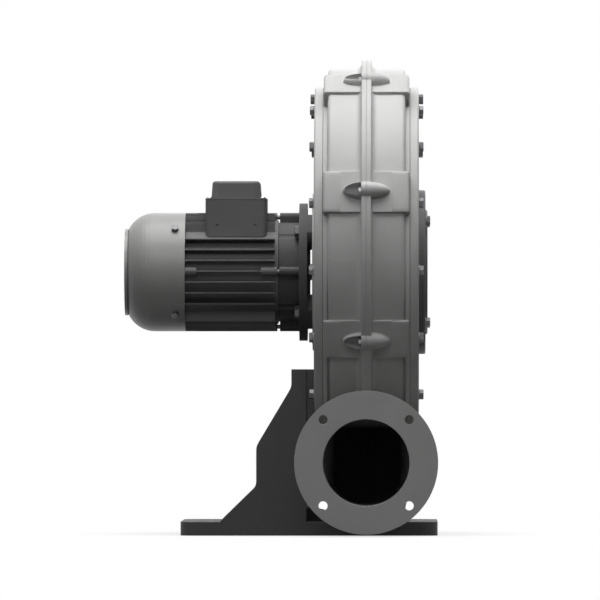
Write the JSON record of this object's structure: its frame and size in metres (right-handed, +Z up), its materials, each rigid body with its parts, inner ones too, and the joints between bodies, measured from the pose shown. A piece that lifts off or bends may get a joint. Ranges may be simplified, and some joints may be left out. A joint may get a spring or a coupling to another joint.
{
  "type": "centrifugal blower",
  "caption": "Centrifugal blower: cast volute with round side covers, closed impeller, flange-mounted motor, and a foot bracket under the motor side.",
  "frame": {"origin": "on the floor, on the underside of the base plate, straight below the casing's seam and the shaft axis", "axes": "+X along the shaft from the motor to the inlet, -Y the way the outlet blows, +Z up"},
  "size_m": [0.4587, 0.656, 0.697],
  "materials": {
    "casing": "satin grey paint on cast aluminium",
    "covers": "satin grey paint on turned discs",
    "flanges": "satin dark grey paint",
    "bracket": "dark painted casting",
    "motor_paint": "dark grey motor paint",
    "fan_cover_paint": "grey paint on pressed sheet",
    "bolts": "blackened steel",
    "bright_steel": "machined steel",
    "sheet_steel": "rolled sheet",
    "cast_aluminium": "as cast",
    "core_plate": "stacked electrical sheet",
    "copper": "varnished winding wire",
    "studs": "plain brass",
    "cage_brass": "plain brass",
    "black_plastic": "moulded plastic",
    "gasket": "gasket sheet"
  },
  "bodies": {
    "housing": {"volute_motor_half": "casing", "volute_inlet_half": "casing", "seam_bolts": "bolts", "outlet_flange": "flanges", "outlet_flange_screws": "bolts", "motor_side_cover": "covers", "inlet_side_cover": "covers", "motor_cover_gasket": "gasket", "inlet_cover_gasket": "gasket", "motor_cover_bolts": "bolts", "inlet_cover_bolts": "bolts", "inlet_nozzle": "flanges", "inlet_nozzle_bolts": "bolts", "shaft_seal": "gasket", "stator_core": "core_plate", "stator_windings": "copper", "motor_frame": "motor_paint", "drive_end_shield": "motor_paint", "rear_end_shield": "motor_paint", "drive_shield_bolts": "bolts", "rear_shield_bolts": "bolts", "front_bearing_outer_ring": "bright_steel", "rear_bearing_outer_ring": "bright_steel", "wave_washer": "bright_steel", "fan_cover": "fan_cover_paint", "fan_cover_screws": "bolts", "motor_flange_bolts": "bolts", "terminal_box_base": "motor_paint", "terminal_box_gasket": "gasket", "terminal_box_lid": "motor_paint", "terminal_lid_screws": "bright_steel", "terminal_board": "black_plastic", "terminal_studs": "studs", "cable_gland": "black_plastic", "blanking_plug": "black_plastic", "foot_bracket": "bracket", "foot_bracket_bolts": "bolts"},
    "rotor": {"shaft": "bright_steel", "rotor_core": "core_plate", "rotor_end_rings": "cast_aluminium", "front_bearing_inner_ring": "bright_steel", "rear_bearing_inner_ring": "bright_steel", "cooling_fan": "black_plastic", "fan_circlip": "bright_steel", "impeller_hub": "cast_aluminium", "impeller_back_disc": "sheet_steel", "impeller_blades": "sheet_steel", "impeller_shroud": "sheet_steel", "impeller_rivets": "bright_steel", "impeller_bolt": "bolts", "impeller_washer": "bright_steel", "impeller_key": "bright_steel"},
    "front_cage": {"front_bearing_balls": "bright_steel", "front_bearing_cage": "cage_brass"},
    "rear_cage": {"rear_bearing_balls": "bright_steel", "rear_bearing_cage": "cage_brass"}
  },
  "joints": [
    {"name": "rotor_spin", "type": "hinge", "parent": "housing", "child": "rotor", "pos_m": [-0.2, 0, 0.385], "axis": [-1, 0, 0], "continuous": true},
    {"name": "front_cage_spin", "type": "hinge", "parent": "housing", "child": "front_cage", "pos_m": [-0.1105, 0, 0.385], "axis": [-1, 0, 0], "continuous": true},
    {"name": "rear_cage_spin", "type": "hinge", "parent": "housing", "child": "rear_cage", "pos_m": [-0.2765, 0, 0.385], "axis": [-1, 0, 0], "continuous": true}
  ],
  "couplings": [
    {"joint": "front_cage_spin", "follows": "rotor_spin", "ratio": 0.3969},
    {"joint": "rear_cage_spin", "follows": "rotor_spin", "ratio": 0.3969}
  ]
}
